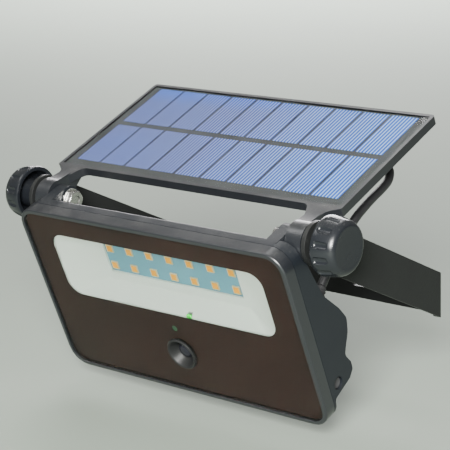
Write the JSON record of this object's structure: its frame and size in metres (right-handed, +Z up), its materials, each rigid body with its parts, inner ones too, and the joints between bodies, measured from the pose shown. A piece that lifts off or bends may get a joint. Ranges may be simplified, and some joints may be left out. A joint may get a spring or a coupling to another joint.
{
  "type": "solar flood light",
  "caption": "Wall flood light: a lamp head with window and motion sensor and a solar panel, both tilting on a U bracket between clamping knobs.",
  "frame": {"origin": "middle of the bracket's flat wall face", "axes": "+Y into the wall, -Y the way the lamp faces, +Z up, +X to the right seen from the front"},
  "size_m": [0.2434, 0.1439, 0.1581],
  "materials": {
    "black_plastic": "moulded satin black, fine texture",
    "knob_plastic": "moulded semi-gloss black",
    "black_steel": "powder coated black",
    "zinc_steel": "bright zinc plate",
    "white_plastic": "satin greenish white",
    "clear_cover": "clear, polished",
    "dark_film": "brown-black print under glass",
    "rubber": "matt black",
    "led_board": "blue-grey solder mask",
    "phosphor": "yellow-orange phosphor",
    "green_led": "green indicator",
    "circuit_board": "green solder mask",
    "cell_sleeve": "shrink sleeve",
    "silicon": "blue polycrystalline cells with fine lines"
  },
  "bodies": {
    "bracket": {"wall_bracket": "black_steel", "pivot_bolt_left": "zinc_steel", "pivot_bolt_right": "zinc_steel", "bolt_washer_left": "zinc_steel", "bolt_washer_right": "zinc_steel", "friction_washer_left": "zinc_steel", "friction_washer_right": "zinc_steel"},
    "lamp_head": {"front_frame": "black_plastic", "housing_seal": "rubber", "front_glass": "clear_cover", "window_film": "dark_film", "glass_seal": "rubber", "reflector": "white_plastic", "led_board": "led_board", "led_01": "phosphor", "led_02": "phosphor", "led_03": "phosphor", "led_04": "phosphor", "led_05": "phosphor", "led_06": "phosphor", "led_07": "phosphor", "led_08": "phosphor", "led_09": "phosphor", "led_10": "phosphor", "led_11": "phosphor", "led_12": "phosphor", "led_13": "phosphor", "led_14": "phosphor", "charge_led": "green_led", "sensor_bezel": "knob_plastic", "sensor_lens": "dark_film", "motion_sensor": "zinc_steel", "indicator_pipe": "white_plastic", "status_led": "green_led", "control_board": "circuit_board", "battery_cell_left": "cell_sleeve", "battery_cell_right": "cell_sleeve", "battery_cradle": "white_plastic", "rear_housing": "black_plastic", "housing_screw_1": "zinc_steel", "housing_screw_2": "zinc_steel", "housing_screw_3": "zinc_steel", "housing_screw_4": "zinc_steel", "power_switch": "rubber", "head_gland": "rubber", "lead_lower": "rubber"},
    "solar_panel": {"panel_frame": "black_plastic", "cell_board": "silicon", "panel_sheet": "clear_cover", "junction_cover": "black_plastic", "cover_screw_left": "zinc_steel", "cover_screw_right": "zinc_steel", "panel_gland": "rubber", "lead_upper": "rubber"},
    "left_knob": {"knob_left": "knob_plastic", "knob_nut_left": "zinc_steel"},
    "right_knob": {"knob_right": "knob_plastic", "knob_nut_right": "zinc_steel"},
    "switch_button": {"power_button": "rubber"}
  },
  "joints": [
    {"name": "panel_tilt", "type": "hinge", "parent": "bracket", "child": "solar_panel", "pos_m": [0, -0.117, 0.0575], "axis": [1, 0, 0], "range_deg": [-12, 68], "deforming": ["lead_upper"]},
    {"name": "head_tilt", "type": "hinge", "parent": "bracket", "child": "lamp_head", "pos_m": [0, -0.117, 0.0575], "axis": [1, 0, 0], "range_deg": [-60, 45], "deforming": ["lead_lower"]},
    {"name": "left_knob_turn", "type": "hinge", "parent": "bracket", "child": "left_knob", "pos_m": [0, -0.117, 0.0575], "axis": [-1, 0, 0], "range_deg": [0, 315]},
    {"name": "right_knob_turn", "type": "hinge", "parent": "bracket", "child": "right_knob", "pos_m": [0, -0.117, 0.0575], "axis": [1, 0, 0], "range_deg": [0, 315]},
    {"name": "power_press", "type": "slide", "parent": "lamp_head", "child": "switch_button", "axis": [-1, 0, 0], "range_m": [0, 0.0015], "stiffness_N_per_m": 300}
  ]
}
